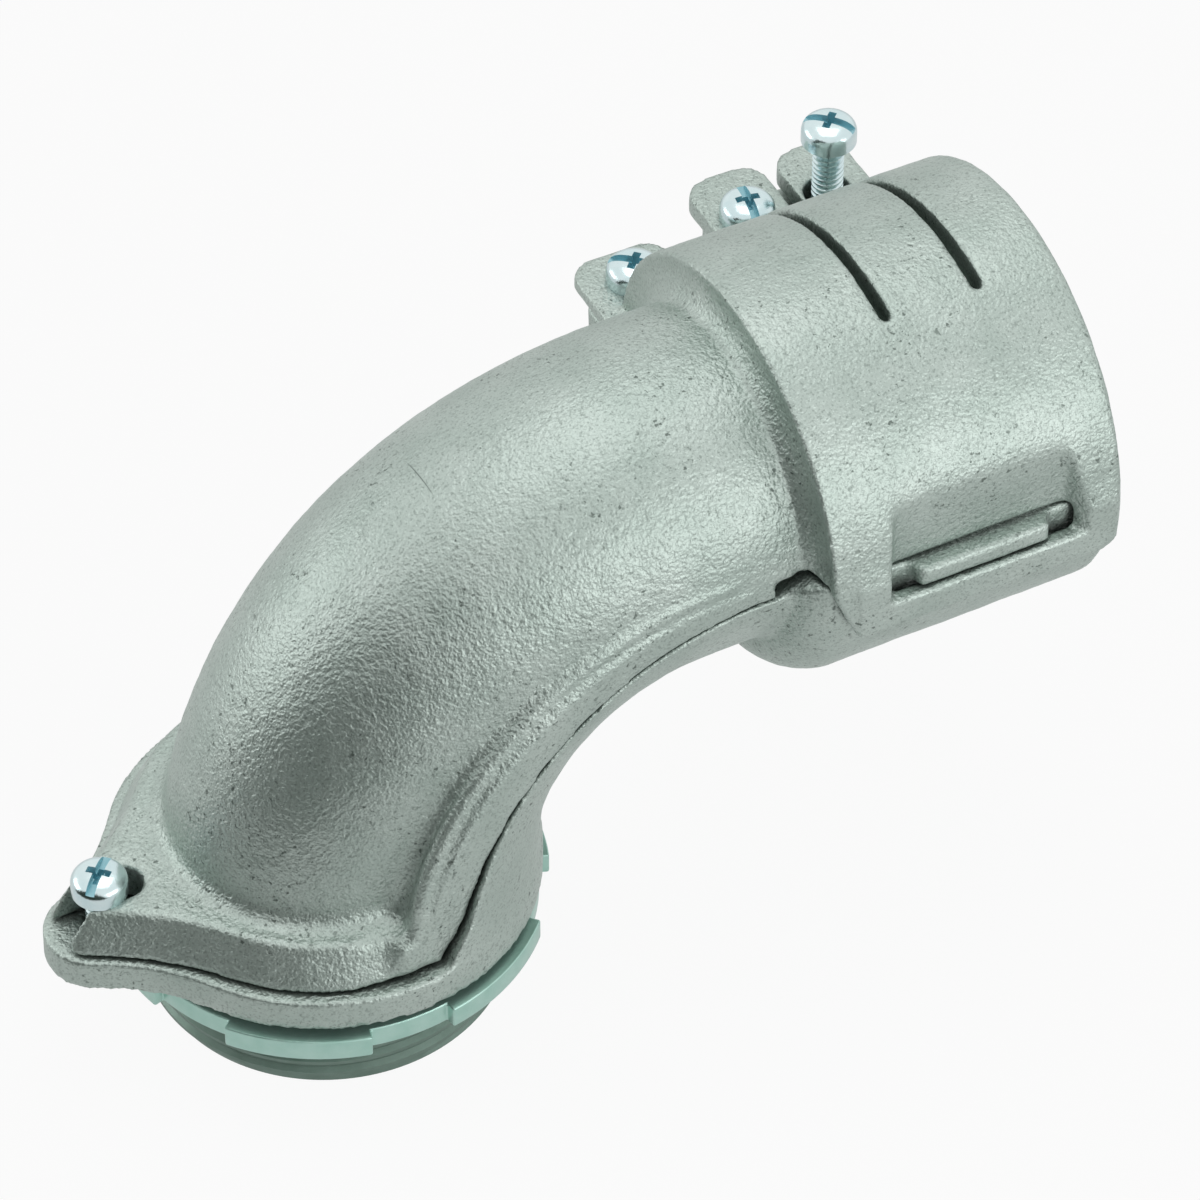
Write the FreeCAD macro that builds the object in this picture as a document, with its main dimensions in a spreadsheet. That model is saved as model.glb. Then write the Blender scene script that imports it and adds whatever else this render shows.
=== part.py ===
# Right angle squeeze connector for flexible metal conduit, 2 1/2 in trade size. Millimetres.
# A threaded hub points down through the wall of a box and a split barrel grips the conduit.
# Two half shells meet on a parting surface that is flat round the heel, climbs the side of the
# elbow and runs level along the barrel; the cover hooks over a tab on the body and is drawn
# down by three ear screws and one heel screw. A locknut holds the hub in the box.
# Frame: hub axis on the seat under the body flange is the origin, +Z up, barrel along +X,
# hook side towards -Y, screw ears towards +Y.
import FreeCAD
import Part
import Sketcher
import math
import os
import re

# Driving sizes: name, value, meaning. A size that follows others is given as a formula in them.
SIZES = [
    ("thread_radius", 36.5, "hub thread, outside radius"),
    ("thread_length", 23.5, "hub thread, below the seat"),
    ("thread_chamfer", 1.5, "lead-in at the end of the hub thread"),
    ("hub_wall", 6.5, "wall of the hub under the thread crests"),
    ("throat_radius", "thread_radius - hub_wall", "bore through the hub"),
    ("seat_width", 6.3, "seat of the body flange outside the thread"),
    ("flange_radius", "thread_radius + seat_width", "body flange round the hub"),
    ("flange_height", 7.5, "seat up to the parting round the heel"),
    ("collar_step", 0.3, "body draws in this far above its flange"),
    ("collar_radius", "flange_radius - collar_step", "body just above its flange"),
    ("cover_flange_step", 1.8, "cover flange stands back from the body flange"),
    ("cover_flange_radius", "flange_radius - cover_flange_step", "cover flange round the heel, at its foot"),
    ("cover_flange_height", 9.2, "cover flange, parting up to its top"),
    ("cover_flange_draft", 4.6, "cover flange draws in this far up to its top"),
    ("heel_stand", 5.7, "middle of the heel ear round beyond the body flange"),
    ("heel_reach", "flange_radius + heel_stand", "hub axis to the middle of the heel ear round"),
    ("heel_round", 10.2, "round of the body heel ear"),
    ("cover_heel_round", 9.4, "round of the cover heel ear, at the parting"),
    ("heel_hollow", 48.0, "hollow sides between the body flange and its ear"),
    ("cover_heel_hollow", 70.0, "hollow sides between the cover flange and its ear"),
    ("screw_radius", 3.175, "clamp screws, shank"),
    ("heel_screw_back", 1.5, "heel screw this side of the middle of the ear round"),
    ("heel_screw_reach", "heel_reach - heel_screw_back", "hub axis to the heel screw"),
    ("cover_heel_stand", 7.0, "square end of the cover heel ear beyond the middle of the round"),
    ("cover_heel_end", "heel_reach + cover_heel_stand", "hub axis to the square end of the cover heel ear"),
    ("heel_slot_run", 4.6, "heel screw to the middle of the heel slot round"),
    ("heel_slot_end", "heel_screw_reach - heel_slot_run", "hub axis to the middle of the heel slot round"),
    ("heel_slot_clear", 0.925, "heel screw to the sides of the heel slot"),
    ("heel_slot_half", "screw_radius + heel_slot_clear", "half width of the open heel slot"),
    ("axis_height", 68.0, "barrel axis above the seat"),
    ("bend_radius", 66.0, "elbow centre line"),
    ("elbow_over_throat", 1.0, "outside of the cover elbow at the heel beyond the hub bore"),
    ("elbow_heel_radius", "throat_radius + elbow_over_throat", "outside of the cover elbow at the heel"),
    ("elbow_flare", 4.0, "cover elbow widens by this up to the barrel"),
    ("elbow_neck_radius", "elbow_heel_radius + elbow_flare", "outside of the cover elbow at the barrel"),
    ("elbow_fillet", 4.0, "hollow between the cover elbow and its flanges"),
    ("cover_wall", 4.0, "wall of the cover elbow at the heel"),
    ("passage_radius", "elbow_heel_radius - cover_wall", "round passage through the elbow"),
    ("inner_bend_radius", 24.0, "concave bend under the body"),
    ("body_wall", 3.0, "wall of the body under the neck"),
    ("underside_drop", "passage_radius + body_wall", "barrel axis down to the underside of the neck"),
    ("neck_stand", 1.0, "body at the barrel beyond the cover elbow"),
    ("neck_half_width", "elbow_neck_radius + neck_stand", "half width of the body at the barrel"),
    ("corner_x", 6.5, "parting: foot of the riser"),
    ("riser_x", 12.0, "parting: top of the straight riser"),
    ("riser_z", 16.6, "parting: height of the top of the straight riser"),
    ("parting_radius", 72.0, "parting: arc up the side of the elbow"),
    ("parting_end", 75.0, "parting: where the arc meets the barrel axis height"),
    ("joint_gap", 0.5, "gap between the two castings along the parting"),
    ("rim_flange", 9.5, "cover flange along the riser"),
    ("rim_flange_radius", 72.0, "top edge of the cover flange up the side of the elbow"),
    ("rim_flange_bevel", 3.2, "slope along the edge of the cover flange up the elbow"),
    ("rim_flange_fade", 7.0, "cover flange left at the barrel end"),
    ("rim_flange_step", 2.0, "top edge of the cover flange starts this far behind the riser flange"),
    ("side_heel_stand", 0.2, "cover flange at the foot of the riser beyond the heel flange"),
    ("side_heel_width", "cover_flange_radius + side_heel_stand",
     "half width of the cover flange at the foot of the riser"),
    ("side_neck_stand", 0.4, "cover flange at the barrel end beyond the elbow"),
    ("side_neck_width", "elbow_neck_radius + side_neck_stand",
     "half width of the cover flange at the barrel end"),
    ("side_radius", 420.0, "hollow sweep of the cover flange seen from above"),
    ("bore_radius", 38.0, "conduit bore"),
    ("cover_barrel_wall", 6.3, "wall of the cover barrel"),
    ("barrel_radius", "bore_radius + cover_barrel_wall", "outside of the cover barrel"),
    ("body_barrel_wall", 3.7, "wall of the body barrel"),
    ("body_barrel_radius", "bore_radius + body_barrel_wall", "outside of the body barrel"),
    ("stop_x", 92.0, "conduit stop"),
    ("dome_x", 82.5, "foot of the domed end of the body barrel"),
    ("groove_x", 80.0, "foot of the cover shoulder"),
    ("shoulder_x", 87.5, "top of the cover shoulder"),
    ("shoulder_sink", 2.0, "hollow starts this far inside the elbow wall"),
    ("shoulder_ease", 0.59, "hollow of the cover shoulder: its radius over the line across it"),
    ("shoulder_rise", "barrel_radius - elbow_neck_radius + shoulder_sink",
     "foot of the shoulder up to its top"),
    ("shoulder_fillet", "shoulder_ease * sqrt((shoulder_x - groove_x) ^ 2 + shoulder_rise ^ 2)",
     "hollow at the foot of the cover shoulder"),
    ("rim_x", 150.4, "mouth of the barrel"),
    ("rim_round", 1.3, "rounded edge of the mouth"),
    ("slot_width", 2.3, "clamping slots across the barrel"),
    ("slot_one_x", 112.3, "inner slot, side nearer the elbow"),
    ("slot_two_x", 132.1, "outer slot, side nearer the elbow"),
    ("slot_past_top", 20.5, "angle the slots run past the top towards the hook"),
    ("ear_top", 7.0, "top of the cover ears above the barrel axis"),
    ("clamp_gap", 2.0, "open gap under the two strap ears"),
    ("screw_stand", 18.0, "strap and ring screws beyond the conduit bore"),
    ("screw_reach", "bore_radius + screw_stand", "barrel axis to the strap and ring screws"),
    ("ear_edge", 14.0, "strap ears beyond their screws"),
    ("ear_reach", "screw_reach + ear_edge", "barrel axis to the outer edge of the strap ears"),
    ("elbow_screw_stand", 12.0, "elbow ear screw beyond the conduit bore"),
    ("elbow_screw_reach", "bore_radius + elbow_screw_stand", "barrel axis to the elbow ear screw"),
    ("elbow_ear_edge", 9.0, "elbow ear beyond its screw"),
    ("elbow_ear_reach", "elbow_screw_reach + elbow_ear_edge",
     "barrel axis to the outer edge of the elbow ear"),
    ("elbow_ear_left", 83.5, "elbow ear, side nearer the elbow"),
    ("elbow_ear_right", 104.0, "elbow ear, side nearer the mouth"),
    ("ear_corner", 5.0, "rounded corners of the ears"),
    ("ear_clear", 0.3, "strap ears stand back from the slots"),
    ("body_ear_depth", 8.0, "body ears below the barrel axis"),
    ("body_ear_inset", 2.0, "body ears stand back from the cover ears"),
    ("strap_screw_x", 122.5, "strap screw along the barrel"),
    ("ring_screw_x", 140.6, "ring screw along the barrel"),
    ("elbow_screw_x", 94.0, "elbow ear screw along the barrel"),
    ("ear_hole_clear", 0.775, "screws to the sides of the long holes in the cover ears"),
    ("ear_hole_radius", "screw_radius + ear_hole_clear", "round ends of the long holes in the cover ears"),
    ("ear_hole_shift", 0.9, "half length between the round ends"),
    ("skirt_drop", 8.2, "hook skirt below the barrel axis"),
    ("skirt_x", 93.0, "lower corner of the hook skirt nearer the elbow"),
    ("skirt_round", 6.0, "rounded lower corner of the hook skirt at the mouth"),
    ("bulge_angle", 12.0, "angle above level where the bulge leaves the barrel"),
    ("flat_wall", 2.4, "wall of the body left at the flat inside the hook"),
    ("body_flat", "bore_radius + flat_wall", "barrel axis to the flat on the body inside the hook"),
    ("body_flat_drop", 4.0, "flat on the body runs this far below the hook skirt"),
    ("hook_clear", 1.0, "room between the flat and the hook skirt"),
    ("nest_face", "body_flat + hook_clear", "barrel axis to the inside of the hook skirt"),
    ("hook_wall", 3.6, "wall of the hook skirt"),
    ("bulge_reach", "nest_face + hook_wall", "barrel axis to the face of the hook skirt"),
    ("arch_left", 81.5, "arched gap at the shoulder, side nearer the elbow"),
    ("arch_top", 4.9, "top of the arched gap above the barrel axis"),
    ("pocket_left", 102.0, "hook pocket at its back, side nearer the elbow"),
    ("pocket_right", 139.2, "hook pocket at its back, side nearer the mouth"),
    ("pocket_wall", 2.0, "wall of the cover left behind the pocket"),
    ("pocket_back", "bore_radius + pocket_wall", "barrel axis to the flat back of the pocket"),
    ("pocket_depth", 10.0, "back of the pocket out to where its width is taken"),
    ("pocket_spread_left", 5.4, "pocket widens by this over its depth, elbow side"),
    ("pocket_spread_right", 7.4, "pocket widens by this over its depth, mouth side"),
    ("pocket_height", 24.0, "pocket above the barrel axis"),
    ("lip_drop", 1.6, "top of the hook lip below the barrel axis"),
    ("tab_left", 104.6, "tab at the body wall, side nearer the elbow"),
    ("tab_right", 136.4, "tab at the body wall, side nearer the mouth"),
    ("tab_root", 0.5, "tab starts this far outside the bore"),
    ("tab_bevel", 2.2, "tab ends draw in towards its face"),
    ("tab_stand", 3.6, "face of the tab beyond the flat on the body"),
    ("tab_reach", "body_flat + tab_stand", "barrel axis to the face of the tab"),
    ("tab_drop", 1.25, "tab underside below the barrel axis"),
    ("tab_rise", 3.1, "tab top above the barrel axis"),
    ("hook_gap", 0.6, "room over the tab and the body wall inside the hook"),
    ("nest_top", "tab_rise + hook_gap", "lower edge of the cover barrel inside the hook"),
    ("screw_length", 25.4, "ear screws under the head"),
    ("heel_screw_length", 16.0, "heel screw under the head"),
    ("screw_point", 0.8, "chamfer at the point of the screws"),
    ("head_radius", 5.6, "clamp screws, head"),
    ("head_side", 2.4, "straight side of the head"),
    ("head_height", 5.2, "head with its dome"),
    ("slot_half", 0.9, "half width of the driver slot"),
    ("slot_depth", 1.7, "driver slot below the top of the dome"),
    ("cross_half", 2.6, "half length of the cross recess"),
    ("cross_depth", 3.2, "cross recess below the top of the dome"),
    ("ring_screw_raise", 13.2, "ring screw stands this far above its ear"),
    ("screw_fit", 0.05, "running fit of the shanks in the body"),
    ("locknut_rim", 5.5, "rim of the locknut round the thread"),
    ("locknut_radius", "thread_radius + locknut_rim", "locknut between its lugs"),
    ("lug_stand", 2.2, "locknut lugs beyond the rim"),
    ("lug_radius", "locknut_radius + lug_stand", "locknut lugs"),
    ("lug_half_angle", 19.0, "half the angle of a lug"),
    ("locknut_turn", -2.5, "where the locknut happens to stand"),
    ("locknut_top", 2.1, "top of the locknut below the seat"),
    ("locknut_thick", 5.0, "locknut thickness"),
    ("locknut_fit", 0.05, "running fit of the locknut on the thread"),
]
# The count of lugs, the turns at which the bends are stepped, and lengths that only have to reach
# past a casting or lap into it
LUGS = 6
BEND_STEPS = [0.0, 22.5, 45.0, 67.5, 90.0]
REACH = 90.0
CEILING = 160.0
OVERLAP = 2.0
TOUCH = 0.01

doc = FreeCAD.newDocument("conduit_connector")
sheet = doc.addObject("Spreadsheet::Sheet", "Sizes")
for row, (alias, size, meaning) in enumerate(SIZES, start=1):
    sheet.set(f"A{row}", meaning)
    sheet.set(f"B{row}", f"={size}" if isinstance(size, str) else str(size))
    sheet.setAlias(f"B{row}", alias)
doc.recompute()
NAMES = {alias for alias, size, meaning in SIZES}


def formula(text):
    """Writes a formula in size names as an expression on the sheet."""
    return re.sub(r"[a-z_]+", lambda m: ("Sizes." if m.group() in NAMES else "") + m.group(), str(text))


def value(text):
    """Works a formula out as a number."""
    return float(sheet.evalExpression(formula(text)))


def bind(thing, prop, text):
    thing.setExpression(prop, formula(text))


# Solids bound to the sheet
TURN = {
    "Z": FreeCAD.Rotation(),
    "X": FreeCAD.Rotation(FreeCAD.Vector(0, 1, 0), 90),
}


def place(thing, x, y, z):
    for letter, text in zip("xyz", (x, y, z)):
        bind(thing, f"Placement.Base.{letter}", text)


def cylinder(name, axis, radius, length, x, y, z):
    thing = doc.addObject("Part::Cylinder", name)
    thing.Placement = FreeCAD.Placement(FreeCAD.Vector(), TURN[axis])
    bind(thing, "Radius", radius)
    bind(thing, "Height", length)
    place(thing, x, y, z)
    return thing


def box(name, x, y, z):
    """Box from (low, high) formulas on each axis."""
    thing = doc.addObject("Part::Box", name)
    for prop, (low, high) in zip(("Length", "Width", "Height"), (x, y, z)):
        bind(thing, prop, f"({high}) - ({low})")
    place(thing, x[0], y[0], z[0])
    return thing


def join(name, parts):
    thing = doc.addObject("Part::MultiFuse", name)
    thing.Shapes = parts
    return thing


def common(name, parts):
    thing = doc.addObject("Part::MultiCommon", name)
    thing.Shapes = parts
    return thing


def cut(name, base, tools):
    """Takes the tools away one after another; the last cut carries the name."""
    for i, tool in enumerate(tools, start=1):
        thing = doc.addObject("Part::Cut", name if i == len(tools) else f"{name}_cut_{i}")
        thing.Base = base
        thing.Tool = tool
        base = thing
    thing.Refine = True
    return thing


# Sketches bound to the sheet
PLANES = {
    "XY": FreeCAD.Rotation(),
    "XZ": FreeCAD.Rotation(FreeCAD.Vector(1, 0, 0), 90),
    "YZ": FreeCAD.Rotation(FreeCAD.Vector(1, 1, 1), 120),
}


def add_edge(sketch, start, end, arc):
    """Adds a line, or an arc (radius, side its centre lies on); returns the ends' numbers."""
    a = FreeCAD.Vector(start[0], start[1], 0)
    b = FreeCAD.Vector(end[0], end[1], 0)
    if arc is None:
        sketch.addGeometry(Part.LineSegment(a, b), False)
        return 1, 2
    radius, side = value(arc[0]), arc[1]
    chord = b - a
    sideways = FreeCAD.Vector(-chord.y, chord.x, 0).normalize()
    away = math.sqrt(max(radius ** 2 - (chord.Length / 2) ** 2, 0.0))
    centre = (a + b) * 0.5 + sideways * (away if side == "left" else -away)
    first, last = (a, b) if side == "left" else (b, a)
    turn = [math.atan2(p.y - centre.y, p.x - centre.x) for p in (first, last)]
    circle = Part.Circle(centre, FreeCAD.Vector(0, 0, 1), radius)
    sketch.addGeometry(Part.ArcOfCircle(circle, turn[0], turn[1]), False)
    return (1, 2) if side == "left" else (2, 1)


def outline(sketch, corners):
    """Closed outline. A corner is (x, y) or (x, y, (radius, side)) for an arc on to the next."""
    points = [(value(c[0]), value(c[1])) for c in corners]
    count = len(corners)
    first = sketch.GeometryCount
    ends = []
    for i, corner in enumerate(corners):
        arc = corner[2] if len(corner) > 2 else None
        ends.append(add_edge(sketch, points[i], points[(i + 1) % count], arc))
    for i, corner in enumerate(corners):
        after = (i + 1) % count
        sketch.addConstraint(
            Sketcher.Constraint("Coincident", first + i, ends[i][1], first + after, ends[after][0]))
        for kind, text, number in zip(("DistanceX", "DistanceY"), corner, points[i]):
            index = sketch.addConstraint(Sketcher.Constraint(kind, -1, 1, first + i, ends[i][0], number))
            bind(sketch, f"Constraints[{index}]", text)
        if len(corner) > 2:
            index = sketch.addConstraint(Sketcher.Constraint("Radius", first + i, value(corner[2][0])))
            bind(sketch, f"Constraints[{index}]", corner[2][0])


def sketch_on(name, plane, corners, offset="0"):
    sketch = doc.addObject("Sketcher::SketchObject", name)
    sketch.Placement = FreeCAD.Placement(FreeCAD.Vector(), PLANES[plane])
    bind(sketch, "Placement.Base." + {"XY": "z", "XZ": "y", "YZ": "x"}[plane], offset)
    outline(sketch, corners)
    return sketch


def extrude(name, sketch, length, symmetric=False):
    thing = doc.addObject("Part::Extrusion", name)
    thing.Base = sketch
    thing.DirMode = "Normal"
    thing.Solid = True
    thing.Symmetric = symmetric
    bind(thing, "LengthFwd", length)
    return thing


def turned(name, sketch):
    """Turns an outline in the XZ plane about the barrel axis."""
    thing = doc.addObject("Part::Revolution", name)
    thing.Source = sketch
    thing.Axis = FreeCAD.Vector(1, 0, 0)
    bind(thing, "Base.z", "axis_height")
    thing.Angle = 360
    thing.Solid = True
    return thing


def bent(name, centre_x, centre_z, reach, radius, tail, foot=None):
    """Tapered bend about a level axis: round sections stepped from upright to level, with a
    straight run down to the foot height, if it is given, and one along to the tail.
    Reach and radius are (at the hub, at the barrel)."""
    rings = []
    if foot is not None:
        rings.append((0.0, radius[0], f"{centre_x} - ({reach[0]})", foot))
    for angle in BEND_STEPS:
        share = angle / BEND_STEPS[-1]
        far = f"({reach[0]} + (({reach[1]}) - ({reach[0]})) * {share})"
        across = f"{radius[0]} + (({radius[1]}) - ({radius[0]})) * {share}"
        x = f"{centre_x} - {far} * cos({angle})"
        z = f"{centre_z} + {far} * sin({angle})"
        rings.append((angle, across, x, z))
    rings.append((BEND_STEPS[-1], radius[1], tail, f"{centre_z} + {reach[1]}"))
    sections = []
    for i, (angle, across, x, z) in enumerate(rings):
        ring = doc.addObject("Part::Circle", f"{name}_{i}")
        ring.Placement = FreeCAD.Placement(
            FreeCAD.Vector(), FreeCAD.Rotation(FreeCAD.Vector(0, 1, 0), angle))
        bind(ring, "Radius", across)
        place(ring, x, "0", z)
        sections.append(ring)
    return loft(name, sections, False)


def passage(name, foot):
    """Round way through the elbow: up from the foot height, round the bend and on into the bore."""
    bend = doc.addObject("Part::Torus", f"{name}_bend")
    bend.Placement = FreeCAD.Placement(FreeCAD.Vector(), QUARTER)
    bend.Angle3 = 90
    bind(bend, "Radius1", "bend_radius")
    bind(bend, "Radius2", "passage_radius")
    place(bend, "bend_radius", 0, BEND_FOOT)
    rise = cylinder(f"{name}_rise", "Z", "passage_radius", f"{BEND_FOOT} - ({foot})", 0, 0, foot)
    run = cylinder(f"{name}_run", "X", "passage_radius", f"stop_x - bend_radius + {OVERLAP}",
                   "bend_radius", 0, "axis_height")
    bore = cylinder(f"{name}_bore", "X", "bore_radius", f"rim_x - stop_x + {OVERLAP}",
                    "stop_x", 0, "axis_height")
    return [rise, bend, run, bore]


def teardrop(name, base, flange, rounding, hollow):
    """Outline of a round flange drawn out to the heel ear by two hollow tangent sides."""
    r0, r1, r2, d = value(flange), value(rounding), value(hollow), value("heel_reach")
    up = FreeCAD.Vector(0, 0, 1)
    heel = FreeCAD.Vector(-d, 0, 0)
    lean = math.acos(((r0 + r2) ** 2 + d ** 2 - (r1 + r2) ** 2) / (2 * (r0 + r2) * d))
    hub = FreeCAD.Vector()
    left = FreeCAD.Vector(-math.cos(lean), math.sin(lean), 0) * (r0 + r2)
    right = FreeCAD.Vector(-math.cos(lean), -math.sin(lean), 0) * (r0 + r2)
    rings = [(hub, r0, right, left), (left, r2, heel, hub), (heel, r1, left, right), (right, r2, hub, heel)]
    sketch = doc.addObject("Sketcher::SketchObject", name)
    for centre, radius, first, last in rings:
        turn = [math.atan2((p - centre).y, (p - centre).x) for p in (first, last)]
        sketch.addGeometry(Part.ArcOfCircle(Part.Circle(centre, up, radius), turn[0], turn[1]))
    for one, end_one, two, end_two in ((0, 2, 1, 2), (1, 1, 2, 1), (2, 2, 3, 2), (3, 1, 0, 1)):
        sketch.addConstraint(Sketcher.Constraint("Tangent", one, end_one, two, end_two))
    sketch.addConstraint(Sketcher.Constraint("Coincident", 0, 3, -1, 1))
    sketch.addConstraint(Sketcher.Constraint("PointOnObject", 2, 3, -1))
    index = sketch.addConstraint(Sketcher.Constraint("DistanceX", 2, 3, -1, 1, d))
    bind(sketch, f"Constraints[{index}]", "heel_reach")
    for edge, text in ((0, flange), (1, hollow), (2, rounding), (3, hollow)):
        index = sketch.addConstraint(Sketcher.Constraint("Radius", edge, value(text)))
        bind(sketch, f"Constraints[{index}]", text)
    bind(sketch, "Placement.Base.z", base)
    return sketch


def loft(name, sections, ruled):
    thing = doc.addObject("Part::Loft", name)
    thing.Sections = sections
    thing.Solid = True
    thing.Ruled = ruled
    return thing


def ear(name, left, right, reach, low, high):
    """Ear on the far side of the barrel with two rounded outer corners."""
    corners = [
        (left, "bore_radius - ear_corner"),
        (right, "bore_radius - ear_corner"),
        (right, f"{reach} - ear_corner", ("ear_corner", "left")),
        (f"{right} - ear_corner", reach),
        (f"{left} + ear_corner", reach, ("ear_corner", "left")),
        (left, f"{reach} - ear_corner"),
    ]
    return extrude(name, sketch_on(f"{name}_outline", "XY", corners, low), f"({high}) - ({low})")


# Formulas and turns used more than once
QUARTER = FreeCAD.Rotation(FreeCAD.Vector(1, 0, 0), 90) * FreeCAD.Rotation(FreeCAD.Vector(0, 0, 1), 90)
UPPER = "axis_height + joint_gap / 2"
LOWER = "axis_height - joint_gap / 2"
STRAP_LOW = "axis_height + clamp_gap"
EAR_HIGH = "axis_height + ear_top"
STRAP_LEFT = "slot_one_x + slot_width"
RING_LEFT = "slot_two_x + slot_width"
COVER_TOP = "flange_height + cover_flange_height"
BEND_FOOT = "axis_height - bend_radius"
COLLAR_TOP = "axis_height - underside_drop - inner_bend_radius"
INNER_CENTRE = "collar_radius + inner_bend_radius"
DOME = "body_barrel_radius - underside_drop"

EARS = {
    "elbow": ("elbow_ear_left", "elbow_ear_right", "elbow_ear_reach", UPPER,
              "elbow_screw_x", "elbow_screw_reach"),
    "strap": (STRAP_LEFT + " + ear_clear", "slot_two_x - ear_clear", "ear_reach", STRAP_LOW,
              "strap_screw_x", "screw_reach"),
    "ring": (RING_LEFT + " + ear_clear", "rim_x - ear_clear", "ear_reach", STRAP_LOW,
             "ring_screw_x", "screw_reach"),
}


def parting(shift):
    """Corners of the parting from the heel to the barrel, moved up and back by the shift."""
    return [
        (f"-{REACH}", f"flange_height + {shift}"),
        (f"corner_x - {shift}", f"flange_height + {shift}"),
        (f"riser_x - {shift}", f"riser_z + {shift}", ("parting_radius", "right")),
        (f"parting_end - {shift}", f"axis_height + {shift}"),
    ]


# Cover casting: elbow, shoulder and barrel
cover_elbow = bent(
    "cover_elbow", "bend_radius", BEND_FOOT,
    ("bend_radius", "bend_radius"), ("elbow_heel_radius", "elbow_neck_radius"), tail="shoulder_x")
cover_barrel = turned("cover_barrel", sketch_on("cover_barrel_outline", "XZ", [
    ("groove_x", "axis_height"),
    ("rim_x", "axis_height"),
    ("rim_x", "axis_height + barrel_radius - rim_round", ("rim_round", "left")),
    ("rim_x - rim_round", "axis_height + barrel_radius"),
    ("shoulder_x", "axis_height + barrel_radius", ("shoulder_fillet", "right")),
    ("groove_x", "axis_height + elbow_neck_radius - shoulder_sink"),
]))
hook_bulge = extrude("hook_bulge", sketch_on("hook_bulge_outline", "YZ", [
    ("-barrel_radius * cos(bulge_angle)", "axis_height + barrel_radius * sin(bulge_angle)"),
    ("-bulge_reach", "axis_height + nest_top"),
    ("-bulge_reach", "axis_height - skirt_drop"),
    ("-bore_radius", "axis_height - skirt_drop"),
    ("-bore_radius", "axis_height + barrel_radius * sin(bulge_angle)"),
], "skirt_x"), "rim_x - rim_round - skirt_x")

# Cover casting: flange round the heel and up the side of the elbow, ears
heel_flange = common("heel_flange", [
    loft("heel_plate", [
        teardrop("heel_plate_foot", "flange_height", "cover_flange_radius",
                 "cover_heel_round", "cover_heel_hollow"),
        teardrop("heel_plate_top", COVER_TOP, "cover_flange_radius - cover_flange_draft",
                 "cover_heel_round - cover_flange_draft", "cover_heel_hollow"),
    ], True),
    box("heel_square_end", ("-cover_heel_end", REACH), (-REACH, REACH), (0, CEILING)),
])
side_flange_block = common("side_flange_block", [
    extrude("side_flange_slab", sketch_on("side_flange_outline", "XZ", [
        ("corner_x - rim_flange", "flange_height"),
        ("parting_end", "flange_height"),
        ("parting_end", "axis_height + rim_flange_fade", ("rim_flange_radius", "left")),
        ("riser_x - rim_flange - rim_flange_step", COVER_TOP),
        ("corner_x - rim_flange", COVER_TOP),
    ]), 2 * REACH, True),
    extrude("side_flange_plan", sketch_on("side_flange_plan_outline", "XY", [
        ("corner_x - rim_flange", "side_heel_width"),
        ("corner_x - rim_flange", "-side_heel_width", ("side_radius", "right")),
        (f"parting_end + {OVERLAP}", "-side_neck_width"),
        (f"parting_end + {OVERLAP}", "side_neck_width", ("side_radius", "right")),
    ]), CEILING),
])
doc.recompute()
side_flange = doc.addObject("Part::Chamfer", "side_flange")
side_flange.Base = side_flange_block
side_flange.Edges = [
    (i, value("rim_flange_bevel"), value("rim_flange_bevel"))
    for i, edge in enumerate(side_flange_block.Shape.Edges, start=1)
    if edge.Length > value("rim_flange_radius") and edge.BoundBox.ZMax > value("axis_height")
    and abs(edge.CenterOfMass.y) > value("side_neck_width") / 2
]
cover_ears = [
    ear(f"cover_{name}_ear", left, right, reach, low, EAR_HIGH)
    for name, (left, right, reach, low, x, y) in EARS.items()
]

# Cover casting: the room above the parting, with the arched gap and the hook skirt
cover_room = extrude("cover_room", sketch_on("cover_room_outline", "XZ", parting("joint_gap / 2") + [
    ("arch_left", UPPER, ("shoulder_x - arch_left", "right")),
    ("shoulder_x", "axis_height + arch_top"),
    ("skirt_x", "axis_height - skirt_drop"),
    ("rim_x - skirt_round", "axis_height - skirt_drop", ("skirt_round", "left")),
    ("rim_x", "axis_height - skirt_drop + skirt_round"),
    ("rim_x", CEILING),
    (f"-{REACH}", CEILING),
]), 2 * REACH, True)
cover_solid = common("cover_solid", [
    join("cover_masses", [cover_elbow, cover_barrel, hook_bulge, heel_flange, side_flange] + cover_ears),
    cover_room,
])

# Cover casting: passage, conduit bore and the room for the body wall inside the hook
cover_passage = passage("cover_way", 0)
cover_nest = box("cover_nest", ("groove_x", f"rim_x + {OVERLAP}"), ("-nest_face", 0),
                 (0, "axis_height + nest_top"))
far_edge = box("far_edge", ("parting_end", f"rim_x + {OVERLAP}"), (0, REACH), (0, UPPER))
strap_edge = box("strap_edge", ("slot_one_x", f"rim_x + {OVERLAP}"), (0, REACH), (0, STRAP_LOW))

# Cover casting: clamping slots, hook pocket and window, holes
slots = [
    extrude(f"clamp_slot_{at}", sketch_on(f"clamp_slot_{at}_outline", "YZ", [
        (0, "axis_height"),
        (REACH, "axis_height"),
        (REACH, CEILING),
        (f"-tan(slot_past_top) * ({CEILING} - axis_height)", CEILING),
    ], at), "slot_width")
    for at in ("slot_one_x", "slot_two_x")
]
pocket = extrude("hook_pocket", sketch_on("hook_pocket_outline", "XY", [
    ("pocket_left", "-pocket_back"),
    ("pocket_left - pocket_spread_left", "-pocket_back - pocket_depth"),
    ("pocket_right + pocket_spread_right", "-pocket_back - pocket_depth"),
    ("pocket_right", "-pocket_back"),
], "axis_height - lip_drop"), "pocket_height + lip_drop")
heel_slot = join("heel_slot", [
    cylinder("heel_slot_round", "Z", "heel_slot_half", CEILING, "-heel_slot_end", 0, 0),
    box("heel_slot_open", (-REACH, "-heel_slot_end"), ("-heel_slot_half", "heel_slot_half"), (0, CEILING)),
])
ear_holes = []
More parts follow.
